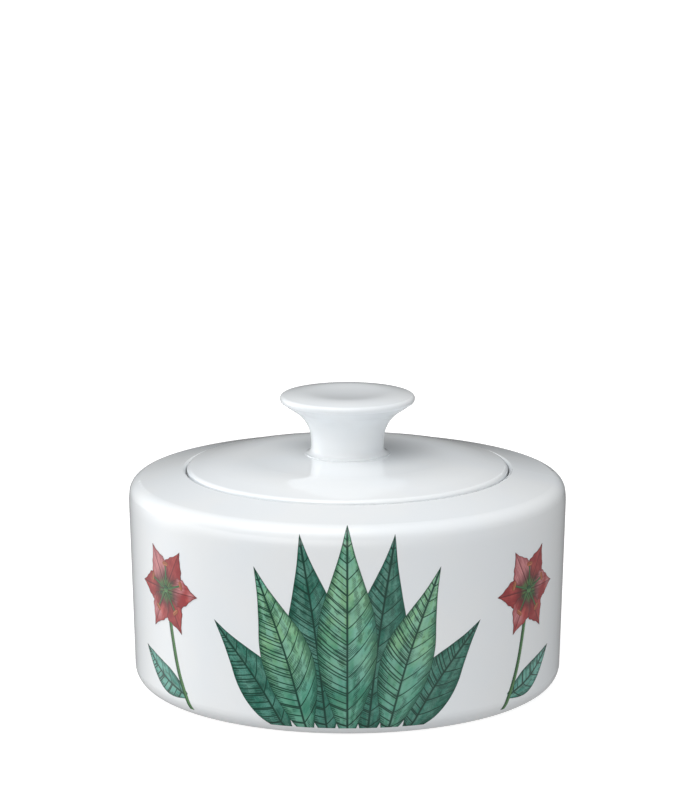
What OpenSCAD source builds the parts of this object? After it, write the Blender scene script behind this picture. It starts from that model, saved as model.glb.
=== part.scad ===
// Porcelain sugar bowl with a lid that rests in a sunk seat and a flared knob luted to the lid.
// Millimetres, +Z up. The origin is the centre of the foot ring, on the plane it stands on.

/* [Bowl] */
// Outside diameter at the top of the wall
bowl_d = 120; // [112:1:130]
// How much smaller the diameter is at the foot of the wall
draft = 2.8; // [0:0.2:6]
// Height of the rim round the lid
rim_z = 59.5; // [54:0.5:72]
// Fall of the shoulder from the rim outwards, in degrees
shoulder_fall = 12; // [4:1:14]
// Radius of the round between shoulder and wall
shoulder_r = 4; // [3:0.5:5]
// Radius of the round at the foot of the wall
base_r = 5; // [3:0.5:7]
// Wall thickness
wall = 4; // [3:0.5:5]
// Floor thickness
floor_t = 4; // [3:0.5:6]
// Radius of the round between floor and wall, inside
cove_r = 9; // [5:1:14]

/* [Foot] */
// Width of the unglazed foot ring
foot_w = 3.6; // [2.5:0.1:5]
// Depth of the hollow inside the foot ring
foot_h = 2.2; // [1:0.1:3]

/* [Lid seat] */
// Diameter of the rim round the lid
rim_d = 88.8; // [84:0.2:92]
// Depth of the seat below the rim
seat_depth = 2.9; // [2:0.1:4]
// Width of the ledge that the lid rests on
seat_w = 4.2; // [3.5:0.1:5]
// Thickness of the ledge
seat_t = 3.2; // [2.5:0.1:4]

/* [Lid] */
// Gap between the lid's edge and the rim
lid_gap = 0.4; // [0.3:0.1:1]
// Height of the lid's edge above the rim
edge_h = 0.5; // [0.4:0.1:2]
// Width of the border that slopes down to the edge
border_w = 11; // [6:0.5:12]
// Slope of that border, in degrees
border_slope = 12.5; // [9:0.5:16]
// Slope of the lid inside the border, in degrees
crown_slope = 2.5; // [1:0.5:6]
// Thickness of the lid
lid_t = 4; // [3:0.5:5]
// Thickness of the flange that keeps the lid in place
flange_t = 3; // [2.5:0.1:4]
// Depth of the flange below the seat
flange_h = 5.6; // [3:0.2:9]
// Gap between the flange and the throat
flange_gap = 0.8; // [0.4:0.1:1.2]

/* [Knob] */
// Height of the knob
knob_h = 17; // [16:0.1:22]
// Diameter of the knob's head
head_d = 36.9; // [34:0.1:42]
// Diameter of the knob's neck
neck_d = 20; // [16:0.2:21]
// Slope of the head's underside, in degrees
flare_slope = 34; // [28:0.5:42]
// Radius of the hollow curve from neck to head
flare_r = 10; // [6:0.5:10.5]
// Diameter of the blind bore from below
bore_d = 10; // [6:0.5:11]

/* [Hidden] */
$fn = 160;

glaze = "#f2f5f7";
glaze_lid = "#eef2f5";
glaze_knob = "#e8edf1";

// Heights and radii of the bowl
bowl_r = bowl_d / 2;
base_wall_r = bowl_r - draft / 2;
rim_r = rim_d / 2;
seat_z = rim_z - seat_depth;
throat_r = rim_r - seat_w;
ledge_z = seat_z - seat_t;
floor_z = foot_h + floor_t;
foot_out_r = base_wall_r - base_r;
foot_in_r = foot_out_r - foot_w;

// The wall leans in by a few degrees over its last stretch below the shoulder
lean = 7;
lean_h = 4.5;
shoulder_out = bowl_r - lean_h * tan(lean);
shoulder_z = rim_z - (shoulder_out - rim_r) * tan(shoulder_fall);
wall_top_z = shoulder_z - lean_h;

// A wide round blends wall and lean, over most of what the shoulder's round leaves free
lean_turn = lean + atan(draft / 2 / wall_top_z);
shoulder_turn = 90 - lean - shoulder_fall;
lean_free = lean_h / cos(lean) - shoulder_r * tan(shoulder_turn / 2);
lean_r = 0.9 * lean_free / tan(lean_turn / 2);

// Small rounds on the bowl
lip_r = 0.8;
ledge_edge_r = 1;
seat_corner_r = 0.5;
ceiling_r = 5;
foot_edge_r = 0.6;
foot_corner_r = 1.4;

// Heights and radii of the lid
lid_r = rim_r - lid_gap;
edge_z = rim_z + edge_h;
knee_r = lid_r - border_w;
knee_z = edge_z + border_w * tan(border_slope);
pad_r = neck_d / 2 + 2.4;
pad_z = knee_z + (knee_r - pad_r) * tan(crown_slope);
flange_out_r = throat_r - flange_gap;
flange_in_r = flange_out_r - flange_t;
flange_z = seat_z - flange_h;
under_z = pad_z - lid_t;
under_edge_z = knee_z - lid_t;
bore_r = bore_d / 2;

// Small rounds on the lid
edge_r = 1.2;
edge_under_r = 0.9;
knee_round_r = border_w / 2 / tan((border_slope - crown_slope) / 2);
flange_end_r = 0.43 * flange_t;
flange_root_r = 3;
flange_heel_r = 0.7;
hole_edge_r = 0.8;

// Heights and radii of the knob
neck_r = neck_d / 2;
head_r = head_d / 2;
joint_r = neck_r + 1.7;
joint_z = pad_z + 0.3;
neck_root_r = 1.6;
knob_z = pad_z + knob_h;
crown_r = head_r - 5;
crown_lift = 0.15;
bevel_h = 0.8;
rim_face_h = 1.5;
head_z = knob_z - bevel_h - rim_face_h;
flare_z = head_z - (head_r - neck_r) * tan(flare_slope);
bore_z = knob_z - 5;
bore_end_r = 0.7 * bore_r;
head_under_r = 1.2;
head_edge_r = 1;
crown_round_r = 28;

// The top falls inwards from the crown as a cone, which runs almost smoothly into a round dish at dish_edge_r
dish_fall = 2;
dish_edge_r = 9;
dish_edge_z = knob_z + crown_lift - (crown_r - dish_edge_r) * tan(dish_fall);
dish_r = dish_edge_r / sin(dish_fall + 1.2);
dish_mid_r = 5;
dish_mid_z = dish_edge_z - (dish_edge_r - dish_mid_r) * tan(dish_fall);

// How far a cutting shape runs past the surface it cuts
over = 1;

// How far a corner piece runs past the two edges it joins, and how far its arc bites into them.
// Without the first, a thin fin would stay on the edge; without the second, a sliver of a face.
corner_over = 0.2;
corner_bite = 0.0003;

// The piece between corner b of the line a-b-c and an arc of radius r that touches both sides
module corner(a, b, c, r) {
    u = (a - b) / norm(a - b);
    v = (c - b) / norm(c - b);
    half = acos(u * v) / 2;
    mid = (u + v) / norm(u + v);
    t = r / tan(half);
    past_u = (u * cos(half) - mid) / sin(half) * corner_over;
    past_v = (v * cos(half) - mid) / sin(half) * corner_over;
    difference() {
        polygon([b + u * t, b + u * t + past_u, b - mid * corner_over / sin(half),
                 b + v * t + past_v, b + v * t]);
        translate(b + mid * (r - corner_bite) / sin(half)) circle(r = r);
    }
}

// Half section of the bowl's outside, as if it were solid
module bowl_outside() {
    axis_low = [0, 0];
    foot = [base_wall_r, 0];
    wall_top = [bowl_r, wall_top_z];
    shoulder = [shoulder_out, shoulder_z];
    lip = [rim_r, rim_z];
    difference() {
        polygon([axis_low, foot, wall_top, shoulder, lip, [0, rim_z]]);
        corner(axis_low, foot, wall_top, base_r);
        corner(foot, wall_top, shoulder, lean_r);
        corner(wall_top, shoulder, lip, shoulder_r);
    }
}

// Half section of everything that is empty inside the bowl, up through the seat
module bowl_inside() {
    floor_mid = [0, floor_z];
    cove = [base_wall_r - wall, floor_z];
    ceiling = [bowl_r - wall, ledge_z];
    throat = [throat_r, ledge_z];
    ledge = [throat_r, seat_z];
    seat = [rim_r, seat_z];
    lip = [rim_r, rim_z];
    above = [rim_r, rim_z + over];
    shoulder_point = [rim_r + over, rim_z - over * tan(shoulder_fall)];
    difference() {
        polygon([floor_mid, cove, ceiling, throat, ledge, seat, above, [0, rim_z + over]]);
        corner(floor_mid, cove, ceiling, cove_r);
        corner(cove, ceiling, throat, ceiling_r);
        corner(ledge, seat, above, seat_corner_r);
    }
    corner(ceiling, throat, ledge, ledge_edge_r);
    corner(throat, ledge, seat, ledge_edge_r);
    corner(seat, lip, shoulder_point, lip_r);
}

// Half section of the hollow under the bowl, inside the foot ring
module foot_hollow() {
    edge = [foot_in_r, 0];
    top = [foot_in_r, foot_h];
    difference() {
        polygon([[0, -over], [foot_in_r, -over], top, [0, foot_h]]);
        corner(edge, top, [0, foot_h], foot_corner_r);
    }
    corner([foot_out_r, 0], edge, top, foot_edge_r);
}

// Body of the bowl: wall, shoulder, lid seat, floor and foot ring
module bowl() {
    color(glaze)
        rotate_extrude()
            difference() {
                bowl_outside();
                bowl_inside();
                foot_hollow();
            }
}

// Half section of the hollow inside the lid's flange
module lid_hollow() {
    hole_low = [bore_r, under_z];
    under_edge = [flange_in_r, under_edge_z];
    difference() {
        polygon([hole_low, under_edge, [flange_in_r, flange_z - over], [bore_r - over, flange_z - over],
                 [bore_r - over, under_z]]);
        corner(hole_low, under_edge, [flange_in_r, flange_z], flange_root_r);
    }
}

// Half section of the space round the lid's flange, below the face that rests on the seat
module flange_surround() {
    heel = [flange_out_r, seat_z];
    difference() {
        polygon([[flange_out_r, flange_z - over], heel,
                 [lid_r + over, seat_z], [lid_r + over, flange_z - over]]);
        corner([flange_out_r, flange_z], heel, [lid_r, seat_z], flange_heel_r);
    }
}

// Lid: low crown with a hole under the knob, and a flange that drops into the throat
module lid() {
    hole_low = [bore_r, under_z];
    under_edge = [flange_in_r, under_edge_z];
    end_in = [flange_in_r, flange_z];
    end_out = [flange_out_r, flange_z];
    heel = [flange_out_r, seat_z];
    edge_low = [lid_r, seat_z];
    edge_high = [lid_r, edge_z];
    knee = [knee_r, knee_z];
    pad = [pad_r, pad_z];
    hole_high = [bore_r, pad_z];
    color(glaze_lid)
        rotate_extrude()
            difference() {
                polygon([[bore_r, flange_z], [lid_r, flange_z], edge_high, knee, pad, hole_high]);
                lid_hollow();
                flange_surround();
                corner(hole_high, hole_low, under_edge, hole_edge_r);
                corner(under_edge, end_in, end_out, flange_end_r);
                corner(end_in, end_out, heel, flange_end_r);
                corner(heel, edge_low, edge_high, edge_under_r);
                corner(edge_low, edge_high, knee, edge_r);
                corner(edge_high, knee, pad, knee_round_r);
            }
}

// Half section of the space round the knob's neck, under its head
module neck_surround() {
    neck_root = [neck_r, joint_z];
    flare = [neck_r, flare_z];
    head_low = [head_r, head_z];
    difference() {
        polygon([[head_r + over, joint_z], neck_root, flare, head_low + over * [1, tan(flare_slope)]]);
        corner([joint_r, joint_z], neck_root, flare, neck_root_r);
        corner(neck_root, flare, head_low, flare_r);
    }
}

// Half section of the blind bore from below
module bore() {
    bore_corner = [bore_r, bore_z];
    difference() {
        polygon([[0, pad_z - over], [bore_r, pad_z - over], bore_corner, [0, bore_z]]);
        corner([bore_r, pad_z], bore_corner, [0, bore_z], bore_end_r);
    }
}

// Knob: foot stuck to the lid, hollow-curved neck, wide head with a slightly dished top
module knob() {
    flare = [neck_r, flare_z];
    head_low = [head_r, head_z];
    head_high = [head_r, head_z + rim_face_h];
    crown = [crown_r, knob_z + crown_lift];
    dish = [dish_mid_r, dish_mid_z];
    color(glaze_knob)
        rotate_extrude()
            difference() {
                polygon([[0, pad_z], [joint_r, pad_z], [joint_r, flare_z], [head_r, flare_z],
                         head_high, crown, dish, [0, dish_mid_z]]);
                neck_surround();
                bore();
                corner(flare, head_low, head_high, head_under_r);
                corner(head_low, head_high, crown, head_edge_r);
                corner(head_high, crown, dish, crown_round_r);
                translate([0, dish_edge_z + dish_r * cos(dish_fall + 1.2)]) circle(r = dish_r, $fn = 1440);
            }
}

bowl();
lid();
knob();
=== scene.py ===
"""Looks for the porcelain sugar bowl: glaze, printed decoration, studio light and camera."""

import bisect
import math

import bmesh
import bpy
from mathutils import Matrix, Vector
from mathutils.bvhtree import BVHTree


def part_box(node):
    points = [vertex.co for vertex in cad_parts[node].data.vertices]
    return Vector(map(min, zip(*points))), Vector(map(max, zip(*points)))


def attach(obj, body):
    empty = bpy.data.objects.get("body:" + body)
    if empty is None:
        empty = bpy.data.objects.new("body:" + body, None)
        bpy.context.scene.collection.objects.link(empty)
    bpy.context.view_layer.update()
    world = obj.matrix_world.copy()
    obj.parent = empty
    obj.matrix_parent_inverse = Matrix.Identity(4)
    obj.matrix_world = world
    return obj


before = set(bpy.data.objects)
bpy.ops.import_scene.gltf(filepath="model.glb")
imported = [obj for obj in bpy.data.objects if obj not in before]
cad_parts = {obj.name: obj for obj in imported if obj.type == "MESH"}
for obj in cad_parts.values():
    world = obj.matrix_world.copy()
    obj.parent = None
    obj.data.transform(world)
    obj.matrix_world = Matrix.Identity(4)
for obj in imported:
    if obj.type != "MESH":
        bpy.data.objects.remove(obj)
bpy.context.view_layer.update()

MM = 0.001


# Camera: low and long, with the bowl in the lower half of the frame

CAMERA_DISTANCE = 900 * MM
CAMERA_HEIGHT = 261.2 * MM
CAMERA_SIDE = 0.7 * MM
CAMERA_PITCH = 0.20066
CAMERA_LENS = 151.16


def make_camera():
    data = bpy.data.cameras.new("camera")
    data.lens = CAMERA_LENS
    data.sensor_width = 36
    data.clip_end = 20
    camera = bpy.data.objects.new("camera", data)
    camera.location = (CAMERA_SIDE, -CAMERA_DISTANCE, CAMERA_HEIGHT)
    camera.rotation_euler = (math.pi / 2 - CAMERA_PITCH, 0, 0)
    bpy.context.scene.collection.objects.link(camera)
    bpy.context.scene.camera = camera


# Studio

# Where each part of the sky's light comes from, as azimuth and elevation in degrees: azimuth 0 is the
# camera's side and 90 its right. A soft box glows with its level at its middle and is the smaller the higher
# its focus. The bounce from below grows between two heights of the sky's unit sphere.
FILL, FILL_LEVEL, FILL_FADE = (63, 49), 0.13, 0.5
KEY, KEY_LEVEL, KEY_FOCUS = (-36, 59), 3.0, 8.5
SIDE, SIDE_LEVEL, SIDE_FOCUS = (-110, 8), 3.1, 14.0
BAND, BAND_LEVEL, BAND_FOCUS, BAND_HALF = (-42, -3), 3.0, 2.0, 0.08
BOUNCE_LEVEL, BOUNCE_START, BOUNCE_FULL = 0.41, -0.09, -0.42


def toward(azimuth, elevation):
    """Unit vector for a direction in degrees."""
    turn, rise = math.radians(azimuth), math.radians(elevation)
    return Vector((math.sin(turn) * math.cos(rise), -math.cos(turn) * math.cos(rise), math.sin(rise)))


def area_light(name, place, aim, width, height, power):
    data = bpy.data.lights.new(name, "AREA")
    data.shape = "RECTANGLE"
    data.size = width
    data.size_y = height
    data.energy = power
    light = bpy.data.objects.new(name, data)
    light.location = place
    light.rotation_euler = (Vector(aim) - Vector(place)).to_track_quat("-Z", "Y").to_euler()
    bpy.context.scene.collection.objects.link(light)


def make_world():
    """A studio sky: high key at the left, low soft box at the side, slim band in front, little behind."""
    world = bpy.data.worlds.new("studio")
    bpy.context.scene.world = world
    world.use_nodes = True
    nodes, links = world.node_tree.nodes, world.node_tree.links
    place = nodes.new("ShaderNodeTexCoord").outputs["Generated"]

    def put(value, socket):
        if isinstance(value, bpy.types.NodeSocket):
            links.new(value, socket)
        else:
            socket.default_value = value

    def sum_up(operation, *values):
        node = nodes.new("ShaderNodeMath")
        node.operation = operation
        for value, socket in zip(values, node.inputs):
            put(value, socket)
        return node.outputs[0]

    def along(direction):
        node = nodes.new("ShaderNodeVectorMath")
        node.operation = "DOT_PRODUCT"
        links.new(place, node.inputs[0])
        node.inputs[1].default_value = toward(*direction)
        return node.outputs["Value"]

    def lobe(value, level, focus):
        """level where value is 1, falling off as it drops."""
        fall = sum_up("MULTIPLY", sum_up("SUBTRACT", value, 1.0), focus)
        return sum_up("MULTIPLY", sum_up("EXPONENT", fall), level)

    light = sum_up("MAXIMUM", sum_up("MULTIPLY_ADD", along(FILL), FILL_FADE, FILL_LEVEL), 0.0)
    light = sum_up("ADD", light, lobe(along(KEY), KEY_LEVEL, KEY_FOCUS))
    light = sum_up("ADD", light, lobe(along(SIDE), SIDE_LEVEL, SIDE_FOCUS))
    up = along((0, 90))
    height = sum_up("DIVIDE", sum_up("SUBTRACT", up, math.sin(math.radians(BAND[1]))), BAND_HALF)
    slim = sum_up("EXPONENT", sum_up("MULTIPLY", sum_up("MULTIPLY", height, height), -1.0))
    light = sum_up("ADD", light, sum_up("MULTIPLY", slim, lobe(along((BAND[0], 0)), BAND_LEVEL, BAND_FOCUS)))
    below = nodes.new("ShaderNodeMapRange")
    for value, socket in zip((up, BOUNCE_START, BOUNCE_FULL, 0.0, BOUNCE_LEVEL), below.inputs):
        put(value, socket)
    links.new(sum_up("ADD", light, below.outputs[0]), nodes["Background"].inputs["Strength"])
    nodes["Background"].inputs["Color"].default_value = (1, 1, 1, 1)


def make_floor():
    """A plain pale floor that burns out to white and takes no part in the bowl's reflections or light."""
    mesh = bpy.data.meshes.new("floor")
    half = 6
    corners = [(-half, -half, 0), (half, -half, 0), (half, half, 0), (-half, half, 0)]
    mesh.from_pydata(corners, [], [(0, 1, 2, 3)])
    floor = bpy.data.objects.new("floor", mesh)
    bpy.context.scene.collection.objects.link(floor)
    material = bpy.data.materials.new("floor")
    material.use_nodes = True
    shader = material.node_tree.nodes["Principled BSDF"]
    shader.inputs["Base Color"].default_value = (0.5, 0.5, 0.5, 1)
    shader.inputs["Roughness"].default_value = 0.8
    shader.inputs["Emission Color"].default_value = (1, 1, 1, 1)
    shader.inputs["Emission Strength"].default_value = 0.75
    mesh.materials.append(material)
    floor.visible_glossy = False
    floor.visible_diffuse = False
    floor.visible_shadow = False


def make_studio():
    make_world()
    make_floor()
    area_light("key", (-0.9, -0.7, 0.6), (0, 0, 0.04), 0.3, 0.9, 0.2)


# Shading helpers


def tone(red, green, blue):
    """Linear colour of an 8-bit screen colour."""
    def linear(value):
        value /= 255
        return value / 12.92 if value <= 0.04045 else ((value + 0.055) / 1.055) ** 2.4
    return linear(red), linear(green), linear(blue), 1


class Graph:
    """Builds a material's nodes in few words; a socket or a plain number goes in anywhere."""

    def __init__(self, name, roughness, ior=1.52):
        self.material = bpy.data.materials.new(name)
        self.material.use_nodes = True
        self.nodes = self.material.node_tree.nodes
        self.links = self.material.node_tree.links
        self.shader = self.nodes["Principled BSDF"]
        self.shader.inputs["IOR"].default_value = ior
        self.shader.inputs["Roughness"].default_value = roughness

    def put(self, value, socket):
        if isinstance(value, bpy.types.NodeSocket):
            self.links.new(value, socket)
        else:
            socket.default_value = value

    def math(self, operation, *values, clamp=False):
        node = self.nodes.new("ShaderNodeMath")
        node.operation = operation
        node.use_clamp = clamp
        for value, socket in zip(values, node.inputs):
            self.put(value, socket)
        return node.outputs[0]

    def span(self, value, low, high, to_low=0.0, to_high=1.0):
        """Smooth step of value from low..high to to_low..to_high."""
        node = self.nodes.new("ShaderNodeMapRange")
        node.interpolation_type = "SMOOTHSTEP"
        for given, socket in zip((value, low, high, to_low, to_high), node.inputs):
            self.put(given, socket)
        return node.outputs[0]

    def mix(self, amount, first, second):
        node = self.nodes.new("ShaderNodeMix")
        node.data_type = "RGBA"
        self.put(amount, node.inputs["Factor"])
        self.put(first, node.inputs[6])
        self.put(second, node.inputs[7])
        return node.outputs[2]

    def attribute(self, name):
        node = self.nodes.new("ShaderNodeAttribute")
        node.attribute_name = name
        split = self.nodes.new("ShaderNodeSeparateXYZ")
        self.links.new(node.outputs["Vector"], split.inputs[0])
        return node.outputs["Vector"], split.outputs

    def join(self, x, y, z):
        node = self.nodes.new("ShaderNodeCombineXYZ")
        for value, socket in zip((x, y, z), node.inputs):
            self.put(value, socket)
        return node.outputs[0]

    def noise(self, vector, scale, detail=3.0, roughness=0.55):
        node = self.nodes.new("ShaderNodeTexNoise")
        self.put(vector, node.inputs["Vector"])
        node.inputs["Scale"].default_value = scale
        node.inputs["Detail"].default_value = detail
        node.inputs["Roughness"].default_value = roughness
        return node.outputs["Fac"]

    def random(self, value, seed):
        """One random number for each whole step of value."""
        node = self.nodes.new("ShaderNodeTexWhiteNoise")
        node.noise_dimensions = "2D"
        self.put(self.join(self.math("FLOOR", value), seed, 0.0), node.inputs["Vector"])
        return node.outputs["Value"]

    def lines(self, value, gap, half_width, soft=0.1):
        """1 on thin lines where value is a multiple of gap, 0 between them."""
        near = self.math("PINGPONG", value, gap / 2)
        return self.span(near, half_width, half_width + soft, 1.0, 0.0)

    def bump(self, height, strength, distance):
        node = self.nodes.new("ShaderNodeBump")
        node.inputs["Strength"].default_value = strength
        node.inputs["Distance"].default_value = distance
        self.put(height, node.inputs["Height"])
        self.links.new(node.outputs["Normal"], self.shader.inputs["Normal"])

    def colour(self, socket):
        self.put(socket, self.shader.inputs["Base Color"])
        return self.material


# Printed decoration: every leaf, petal and stamen is a thin closed shell fused into the glaze.
# It is drawn flat, with x in degrees round the bowl and y in mm up the wall, and then laid on the bowl.

GIRTH = math.radians(1) * 60  # mm along the wall for one degree
PRINT_FOOT = 2.4              # mm up the wall where the prints are cut off
SHELL = 0.11 * MM             # thickness of a shell, measured inwards from its lifted face
BLADE_HALF = 10               # columns of faces either side of a blade's midrib
WAVES = 6                     # ripples along a wavy edge


def bowl_outline():
    """(distance up the wall, radius, height) along the bowl's outside, read off the CAD node."""
    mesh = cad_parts["bowl"].data
    tree = BVHTree.FromPolygons([v.co for v in mesh.vertices], [p.vertices for p in mesh.polygons])
    low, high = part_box("bowl")
    turn = Vector((high.x - 12 * MM, 0, high.z - 12 * MM))
    rays = []
    for step in range(90):
        z = 0.3 * MM + (turn.z - 0.3 * MM) * step / 90
        rays.append((Vector((high.x + 0.01, 0, z)), Vector((-1, 0, 0))))
    for step in range(90):
        angle = math.radians(step)
        away = Vector((math.cos(angle), 0, math.sin(angle)))
        rays.append((turn + away * 0.04, -away))
    hits = [tree.ray_cast(start, way)[0] for start, way in rays]
    hits = [hit for hit in hits if hit is not None]
    run, outline = 0.0, []
    for before, hit in zip([hits[0]] + hits, hits):
        run += (hit - before).length
        outline.append((run, hit.x, hit.z))
    shift = next(run - z for run, r, z in outline if z > 5 * MM)
    return [(run - shift, r, z) for run, r, z in outline]


def lay(outline, degrees, up, lift):
    """Point lift metres off the bowl, so many degrees round it and so many metres up its wall."""
    index = bisect.bisect_left(outline, (up,))
    index = min(max(index, 1), len(outline) - 1)
    (run0, r0, z0), (run1, r1, z1) = outline[index - 1], outline[index]
    part = (up - run0) / (run1 - run0)
    span = math.hypot(r1 - r0, z1 - z0)
    r = r0 + (r1 - r0) * part + (z1 - z0) / span * lift
    z = z0 + (z1 - z0) * part - (r1 - r0) / span * lift
    angle = math.radians(degrees)
    return Vector((r * math.sin(angle), -r * math.cos(angle), z))


def smooth(values, t):
    """Catmull-Rom curve through values (numbers or vectors), t from 0 to 1."""
    last = len(values) - 1
    at = min(max(t, 0.0), 1.0) * last
    i = min(int(at), last - 1)
    f = at - i
    a, b = values[i], values[i + 1]
    before = values[i - 1] if i else a * 2 - b
    after = values[i + 2] if i + 2 <= last else b * 2 - a
    return (b * f + a * (1 - f)) + (
        (before * -1 + a * 3 - b * 3 + after) * f ** 3
        + (before * 2 - a * 5 + b * 4 - after) * f ** 2
        + (b - before) * f) * 0.5 - (b - a) * f


class Print:
    """One piece of the decoration: blades that share a material, laid on the bowl as closed shells."""

    def __init__(self, name, turn):
        self.name, self.turn = name, turn
        self.mesh = bmesh.new()
        layers = self.mesh.verts.layers.float_vector
        self.leaf, self.mark = layers.new("leaf"), layers.new("mark")
        self.lift = self.mesh.verts.layers.float.new("lift")

    def blade(self, middle, widths, lift, yellow=0.0, dark=0.0, seed=0.0, wave=0.0, steps=72):
        """A leaf or petal: its midrib from base to tip, and its half widths in mm at even steps along it."""
        points = [Vector((x * GIRTH, y)) for x, y in middle]
        rows, run, before = [], 0.0, None
        for step in range(steps + 1):
            t = step / steps
            here = smooth(points, t)
            ahead = smooth(points, min(t + 0.01, 1.0)) - smooth(points, max(t - 0.01, 0.0))
            ahead.normalize()
            side = Vector((ahead.y, -ahead.x))
            if before is not None:
                run += (here - before).length
            before = here
            row = []
            for column in range(-BLADE_HALF, BLADE_HALF + 1):
                phase = seed * 40 + (2.1 if column > 0 else 0)
                ripple = 1 + wave * math.sin(WAVES * 2 * math.pi * t + phase)
                width = max(smooth([float(w) for w in widths], t), 0.02) * ripple
                across = column / BLADE_HALF * width
                place = here + side * across
                vert = self.mesh.verts.new((place.x, place.y, 0))
                vert[self.leaf] = (run, across, width - abs(across))
                vert[self.mark] = (yellow, dark, seed)
                vert[self.lift] = lift
                row.append(vert)
            rows.append(row)
        for low, high in zip(rows, rows[1:]):
            for i in range(2 * BLADE_HALF):
                self.mesh.faces.new((low[i], low[i + 1], high[i + 1], high[i]))

    def ribbon(self, middle, width, lift):
        """A stem or filament of even width, a little narrower at its end."""
        self.blade(middle, [width / 2] * 8 + [width * 0.3], lift, steps=40)

    def bar(self, middle, width, lift):
        """A short bar, round at both ends: an anther or the middle of a flower."""
        self.blade(middle, [w * width / 2 for w in (0.25, 0.85, 1, 1, 1, 1, 0.85, 0.25)], lift, steps=24)

    def finish(self, outline, material, body="bowl", slot="body_glaze"):
        """Cuts the flat print at the foot, lays it on the bowl and thickens it into closed shells."""
        work = self.mesh
        everything = work.verts[:] + work.edges[:] + work.faces[:]
        bmesh.ops.bisect_plane(work, geom=everything, dist=1e-6, plane_co=(0, PRINT_FOOT, 0),
                               plane_no=(0, -1, 0), clear_outer=True)
        bmesh.ops.dissolve_degenerate(work, dist=1e-5, edges=work.edges[:])
        for vert in work.verts:
            vert.co = lay(outline, vert.co.x / GIRTH + self.turn, vert.co.y * MM, vert[self.lift] * MM)
        for edge in work.edges:
            edge.smooth = not edge.is_boundary
        for face in work.faces:
            face.smooth = True
        mesh = bpy.data.meshes.new(self.name)
        work.to_mesh(mesh)
        work.free()
        mesh.materials.append(material)
        piece = bpy.data.objects.new(self.name, mesh)
        bpy.context.scene.collection.objects.link(piece)
        shell = piece.modifiers.new("shell", "SOLIDIFY")
        shell.thickness = SHELL
        shell.offset = -1
        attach(piece, body)


# Materials of the print. A blade's mark is (yellow, dark, seed): yellow above 0 warms a leaf, below 0 turns a
# leaf teal and a petal pale.

PRINT_GLOSS = 0.06
VEIN_GAP, STROKE_GAP = 4.4, 0.52  # mm along the midrib


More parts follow.
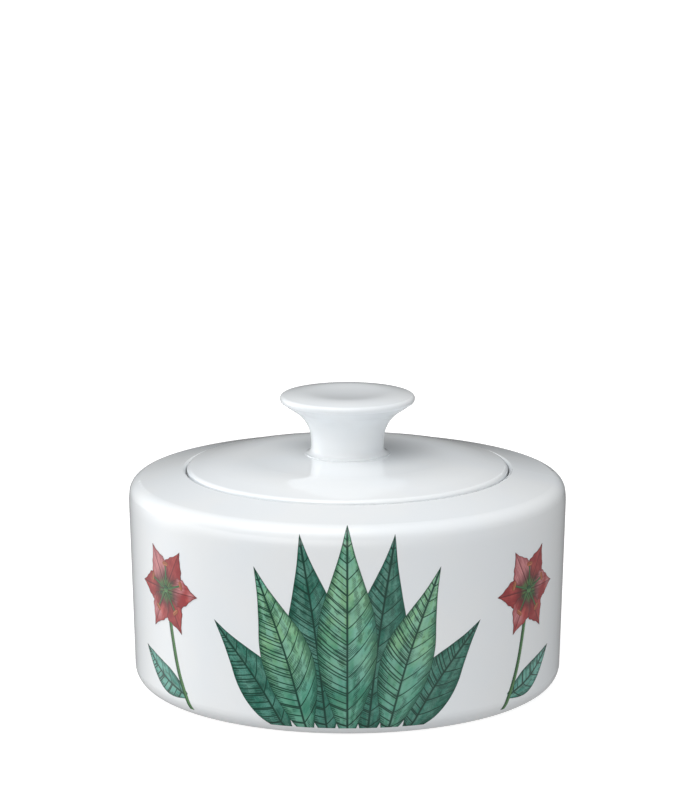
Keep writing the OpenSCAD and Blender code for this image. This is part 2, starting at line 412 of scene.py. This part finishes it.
def leaf_material():
    """Engraved leaf: watercolour ground, dark midrib and side veins, fine strokes from midrib and edge."""
    g = Graph("print_leaf", PRINT_GLOSS)
    _, (along, across, edge) = g.attribute("leaf")
    _, (yellow, dark, seed) = g.attribute("mark")
    out = g.math("ABSOLUTE", across)
    right = g.math("GREATER_THAN", across, 0.0)
    reach = g.math("DIVIDE", out, g.math("ADD", g.math("ADD", out, edge), 0.01))
    curl = g.math("MULTIPLY", g.math("MULTIPLY", out, out), g.math("MULTIPLY_ADD", right, 0.055, 0.015))
    slope = g.math("MAXIMUM", g.span(along, 4.0, 44.0, 0.3, 0.85), g.math("MULTIPLY", right, 0.75))
    rise = g.math("MULTIPLY_ADD", out, slope, curl)
    vein = g.math("ADD", g.math("SUBTRACT", along, rise), g.math("MULTIPLY", seed, 3.0))

    where = g.join(along, across, g.math("MULTIPLY", seed, 50.0))
    cloud = g.noise(where, 0.16)
    lane = g.math("FLOOR", g.math("DIVIDE", vein, VEIN_GAP))
    lane_place = g.join(g.math("MULTIPLY", lane, 3.7), g.math("MULTIPLY", reach, 3.0), seed)
    lane_tone = g.noise(lane_place, 1.0, 1.0)
    grain_place = g.join(g.math("MULTIPLY", vein, 2.2), g.math("MULTIPLY", reach, 2.0), seed)
    grain = g.noise(grain_place, 1.0, 4.0, 0.7)
    ground = g.mix(g.span(cloud, 0.36, 0.64), tone(54, 138, 116), tone(112, 188, 168))
    warm = g.mix(g.span(g.noise(where, 0.11), 0.35, 0.6), tone(88, 158, 110), tone(158, 210, 150))
    sunny = g.span(g.noise(where, 0.09), 0.3, 0.55)
    sunny = g.math("MULTIPLY", sunny, g.span(along, 8.0, 30.0, 0.3, 1.0))
    ground = g.mix(g.math("MULTIPLY", yellow, sunny, clamp=True), ground, warm)
    teal = g.mix(g.span(cloud, 0.36, 0.64), tone(52, 138, 126), tone(122, 196, 184))
    ground = g.mix(g.math("MULTIPLY", yellow, -1.0, clamp=True), ground, teal)
    light = g.math("MULTIPLY", g.span(lane_tone, 0.42, 0.62), g.span(reach, 0.5, 0.95, 0.5, 0.0))
    ground = g.mix(light, ground, tone(150, 206, 190))
    ground = g.mix(g.span(grain, 0.4, 0.75, 0.0, 0.3), ground, tone(164, 212, 194))
    deep = tone(10, 54, 42)
    gloom = g.math("MULTIPLY", dark, g.span(cloud, 0.25, 0.75, 1.0, 0.8))
    ground = g.mix(gloom, ground, tone(16, 72, 52))
    ground = g.mix(g.span(reach, 0.66, 1.0, 0.0, 0.45), ground, tone(26, 104, 82))
    cool = g.span(yellow, 0.5, 0.65, 1.0, 0.0)
    beside = g.math("MULTIPLY", g.math("MULTIPLY", right, 0.18), cool)
    low = g.math("MAXIMUM", g.span(along, 6.0, 34.0, 0.28, 0.0), beside)
    ground = g.mix(low, ground, tone(26, 108, 88))

    stroke = g.math("DIVIDE", vein, STROKE_GAP)
    hatch = g.lines(vein, STROKE_GAP, 0.08, 0.15)
    from_edge = g.math("GREATER_THAN", reach, g.math("MULTIPLY_ADD", g.random(stroke, 1.3), 0.36, 0.56))
    from_rib = g.math("LESS_THAN", reach, g.math("MULTIPLY_ADD", g.random(stroke, 7.9), 0.5, 0.05))
    patch = g.span(g.noise(where, 0.24, 1.0), 0.42, 0.58)
    middle = g.math("COMPARE", reach, 0.42, g.math("MULTIPLY", g.random(stroke, 3.1), 0.16))
    band = g.span(g.noise(where, 0.13, 1.0), 0.46, 0.56)
    band = g.math("MULTIPLY", g.math("MULTIPLY", middle, right), band)
    strokes = g.math("MAXIMUM", g.math("MAXIMUM", from_edge, band), g.math("MULTIPLY", from_rib, patch))
    strokes = g.math("MULTIPLY", g.math("MULTIPLY", strokes, hatch), 0.8)
    stipple = g.span(g.noise(where, 2.6, 1.0), 0.5, 0.56, 0.0, 0.55)
    strokes = g.math("MAXIMUM", strokes, g.math("MULTIPLY", dark, stipple))
    dense = g.lines(vein, 2.1, 0.1, 0.15)
    sparse = g.lines(vein, VEIN_GAP, 0.12, 0.16)
    on_left = g.math("MULTIPLY", dense, g.math("SUBTRACT", 1.0, right))
    veins = g.math("MULTIPLY", g.math("MAXIMUM", sparse, on_left), 0.95)
    rib = g.span(out, 0.14, 0.45, 0.95, 0.0)
    border = g.span(edge, 0.08, 0.3, 0.85, 0.0)
    ink = g.math("MAXIMUM", g.math("MAXIMUM", strokes, veins), g.math("MAXIMUM", rib, border))
    return g.colour(g.mix(ink, ground, deep))


def petal_material():
    """Muted red petal: green at the claw, paler patches, and darker streaks along it."""
    g = Graph("print_petal", PRINT_GLOSS)
    _, (along, across, edge) = g.attribute("leaf")
    _, (yellow, dark, seed) = g.attribute("mark")
    where = g.join(along, across, g.math("MULTIPLY", seed, 30.0))
    streak_place = g.join(g.math("MULTIPLY", along, 0.16), g.math("MULTIPLY", across, 2.2), seed)
    streak = g.noise(streak_place, 1.0, 4.0, 0.65)
    ground = g.mix(g.span(g.noise(where, 0.2, 2.0), 0.36, 0.64), tone(160, 48, 50), tone(200, 90, 84))
    patches = g.span(g.noise(where, 0.17, 1.0), 0.36, 0.56)
    pale = g.math("MULTIPLY", g.math("MULTIPLY", yellow, -2.0, clamp=True), patches)
    ground = g.mix(pale, ground, tone(228, 168, 172))
    ground = g.mix(g.span(streak, 0.38, 0.66, 0.55, 0.0), ground, tone(136, 44, 50))
    ground = g.mix(g.span(edge, 0.2, 1.0, 0.4, 0.0), ground, tone(150, 52, 54))
    ground = g.mix(g.math("MULTIPLY", dark, 0.75), ground, tone(112, 34, 38))
    grown = g.math("MULTIPLY_ADD", streak, 2.0, along)
    ground = g.mix(g.span(grown, 3.0, 7.0, 0.85, 0.0), ground, tone(84, 34, 34))
    claw = g.mix(g.span(streak, 0.4, 0.62), tone(26, 56, 36), tone(84, 122, 66))
    ground = g.mix(g.span(grown, 2.0, 4.0, 1.0, 0.0), ground, claw)
    out = g.math("ABSOLUTE", across)
    ink = g.math("MAXIMUM", g.span(out, 0.05, 0.22, 0.8, 0.0), g.span(edge, 0.06, 0.26, 0.75, 0.0))
    return g.colour(g.mix(ink, ground, tone(84, 28, 32)))


def stem_material():
    """Green stems and filaments, lighter along one side."""
    g = Graph("print_stem", PRINT_GLOSS)
    _, (along, across, edge) = g.attribute("leaf")
    streak = g.noise(g.join(g.math("MULTIPLY", along, 0.3), g.math("MULTIPLY", across, 3.0), 0.0), 1.0)
    ground = g.mix(g.span(across, -0.45, 0.45), tone(30, 78, 44), tone(96, 142, 88))
    ground = g.mix(g.span(streak, 0.4, 0.65, 0.0, 0.5), ground, tone(48, 98, 54))
    return g.colour(g.mix(g.span(edge, 0.03, 0.16, 0.6, 0.0), ground, tone(26, 62, 38)))


def anther_material():
    """Rust-coloured anthers with a groove along them."""
    g = Graph("print_anther", PRINT_GLOSS)
    _, (along, across, edge) = g.attribute("leaf")
    grain = g.noise(g.join(along, across, 4.0), 1.6, 5.0, 0.7)
    ground = g.mix(g.span(across, -0.8, 0.9), tone(204, 132, 94), tone(150, 76, 50))
    ground = g.mix(g.span(grain, 0.4, 0.65, 0.0, 0.5), ground, tone(176, 96, 64))
    groove = g.span(g.math("ABSOLUTE", across), 0.04, 0.18, 0.5, 0.0)
    ink = g.math("MAXIMUM", groove, g.span(edge, 0.05, 0.22, 0.7, 0.0))
    return g.colour(g.mix(ink, ground, tone(112, 56, 38)))


# The printed spray is a plain design of its own, the same left and right. Places are (degrees round the bowl,
# mm up the wall) and everything else is in mm. Each layer of print stands a little above the one under it.

LEAF_BACK, LEAF_FRONT, STEM, PETAL_BACK, PETAL_FRONT, FILAMENT, ANTHER = (0.03 + 0.015 * n for n in range(7))

# Half widths from base to tip
LEAF_SHAPE = [1.5, 4.4, 7.0, 8.0, 7.2, 4.6, 2.0, 0]
SIDE_LEAF_SHAPE = [0.8, 2.6, 3.6, 3.2, 1.8, 0]
PETAL_SHAPE = [0.5, 2.6, 3.9, 3.8, 2.6, 1.0, 0]

FAN_HALF = 3     # leaves either side of the tallest one
FAN_HEIGHT = 58
FAN_DROP = 3.2   # how much shorter the leaves get towards the sides, times the square of their number
FAN_FOOT, FAN_MIDDLE, FAN_TIP = 5, 8, 12  # degrees between neighbours
FLOWER_PLACE = (54, 34)
FLOWER_MIDDLE = 1
PETALS, PETAL_LENGTH = 6, 13
STAMENS, STAMEN_LENGTH, ANTHER_HALF = 5, 7, 1.3
STEM_WIDTH, FILAMENT_WIDTH, ANTHER_WIDTH, MIDDLE_WIDTH = 1.3, 0.5, 1.2, 1.9


def around(centre, angle, distance):
    """The place so many mm from centre, in the direction angle."""
    return centre[0] + distance * math.cos(angle) / GIRTH, centre[1] + distance * math.sin(angle)


def ray(centre, angle, near, far):
    """Three places in a row, from near to far out of centre."""
    return [around(centre, angle, distance) for distance in (near, (near + far) / 2, far)]


def print_fan(leaves):
    """Leaves fanned out of the foot, the tallest in the middle; every other one lies over its neighbours."""
    for k in range(-FAN_HALF, FAN_HALF + 1):
        height = FAN_HEIGHT - FAN_DROP * k * k
        shape = [half * (0.5 + 0.5 * height / FAN_HEIGHT) for half in LEAF_SHAPE]
        middle = [(FAN_FOOT * k, 0), (FAN_MIDDLE * k, height / 2), (FAN_TIP * k, height)]
        front = k % 2 == 0
        leaves.blade(middle, shape, LEAF_FRONT if front else LEAF_BACK, yellow=0.7 if front else -0.5,
                     dark=0.1 if front else 0.55, seed=0.13 * (k + FAN_HALF))


def print_flower(hand, leaves, petals, stems, anthers):
    """An open flower on its stem with one side leaf; hand is -1 at the left and 1 at the right."""
    x, y = FLOWER_PLACE
    centre = (hand * x, y)
    stems.ribbon([(hand * (x - 10), 0), (hand * (x - 4), y * 0.4), centre], STEM_WIDTH, STEM)
    leaves.blade([(hand * (x - 7.5), 6), (hand * (x + 2), 9.5), (hand * (x + 12), 16)],
                 SIDE_LEAF_SHAPE, LEAF_BACK, yellow=-0.9, seed=0.64)
    for n in range(PETALS):
        front = n % 2 == 0
        petals.blade(ray(centre, 2 * math.pi * n / PETALS, FLOWER_MIDDLE, PETAL_LENGTH), PETAL_SHAPE,
                     PETAL_FRONT if front else PETAL_BACK, yellow=-0.3 if front else 0.0,
                     dark=0.0 if front else 0.2, seed=0.17 * (n + 1), wave=0.05)
    for n in range(STAMENS):
        angle = math.pi / 2 + 2 * math.pi * n / STAMENS
        stems.ribbon(ray(centre, angle, FLOWER_MIDDLE, STAMEN_LENGTH), FILAMENT_WIDTH, FILAMENT)
        end = around(centre, angle, STAMEN_LENGTH)
        anthers.bar(ray(end, angle + math.pi / 2, -ANTHER_HALF, ANTHER_HALF), ANTHER_WIDTH, ANTHER)
    stems.bar(ray(centre, 0, -FLOWER_MIDDLE, FLOWER_MIDDLE), MIDDLE_WIDTH, ANTHER)


def print_spray(outline, materials, side, turn):
    """The fan of leaves between two flowers, seen from outside; turn moves it round the bowl."""
    prints = {name: Print("print_" + name + "_" + side, turn) for name in materials}
    print_fan(prints["leaves"])
    for hand in (-1, 1):
        print_flower(hand, **prints)
    for name, layer in prints.items():
        layer.finish(outline, materials[name])


def print_decoration():
    outline = bowl_outline()
    materials = {"leaves": leaf_material(), "petals": petal_material(), "stems": stem_material(),
                 "anthers": anther_material()}
    print_spray(outline, materials, "front", 0)
    print_spray(outline, materials, "back", 180)


# Porcelain. Bare zones are (inner radius, outer radius, low, high) in mm.

GLAZE_THIN = (0.87, 0.895, 0.91, 1)
GLAZE_THICK = (0.85, 0.885, 0.912, 1)
BISQUE = (0.72, 0.70, 0.66, 1)
BISQUE_PALE = (0.82, 0.80, 0.76, 1)
FOOT_BARE = (49.4, 55.2, -1.0, 0.35)
LEDGE_BARE = (40.9, 44.2, 56.3, 56.9)
SEAT_BARE = (40.2, 43.8, 56.2, 57.0)


def porcelain(name, bare):
    """White glaze with faint clouds and ripples; bare lists the unglazed zones."""
    g = Graph(name, 0.04)
    place = g.nodes.new("ShaderNodeTexCoord").outputs["Object"]
    split = g.nodes.new("ShaderNodeSeparateXYZ")
    g.links.new(place, split.inputs[0])
    x, y, z = split.outputs
    away = g.math("SQRT", g.math("ADD", g.math("MULTIPLY", x, x), g.math("MULTIPLY", y, y)))
    ragged = g.math("MULTIPLY", g.math("SUBTRACT", g.noise(place, 900.0), 0.5), 0.3 * MM)
    away, up = g.math("ADD", away, ragged), g.math("ADD", z, ragged)
    mask = 0.0
    soft = 0.06 * MM
    for inner, outer, low, high in bare:
        zone = 1.0
        for value, floor, ceiling in ((away, inner, outer), (up, low, high)):
            zone = g.math("MULTIPLY", zone, g.span(value, floor * MM - soft, floor * MM + soft))
            under = g.span(value, ceiling * MM - soft, ceiling * MM + soft, 1.0, 0.0)
            zone = g.math("MULTIPLY", zone, under)
        mask = g.math("MAXIMUM", mask, zone)
    cloud = g.span(g.noise(place, 45.0, 2.0), 0.35, 0.65)
    grain = g.noise(place, 2600.0, 4.0, 0.7)
    body = g.mix(cloud, GLAZE_THIN, GLAZE_THICK)
    clay = g.mix(g.span(grain, 0.3, 0.7), BISQUE, BISQUE_PALE)
    shine = g.span(g.noise(place, 70.0, 2.0), 0.3, 0.7, 0.03, 0.055)
    rough = g.math("MULTIPLY_ADD", mask, 0.7, shine)
    g.put(rough, g.shader.inputs["Roughness"])
    ripple = g.math("MULTIPLY", g.noise(place, 110.0, 1.0), 0.03)
    g.bump(g.math("ADD", ripple, g.math("MULTIPLY", mask, grain)), 1.0, 0.06 * MM)
    return g.colour(g.mix(mask, body, clay))


def dress_nodes():
    """Glaze on all three pieces; the foot ring, the ledge and the lid's seat on it are wiped bare."""
    bare = {"bowl": [FOOT_BARE, LEDGE_BARE], "lid": [SEAT_BARE], "knob": []}
    for name, zones in bare.items():
        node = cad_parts[name]
        node.data.materials.clear()
        node.data.materials.append(porcelain("porcelain_" + name, zones))


make_camera()
make_studio()
dress_nodes()
print_decoration()
scene = bpy.context.scene
scene.view_settings.view_transform = "Standard"
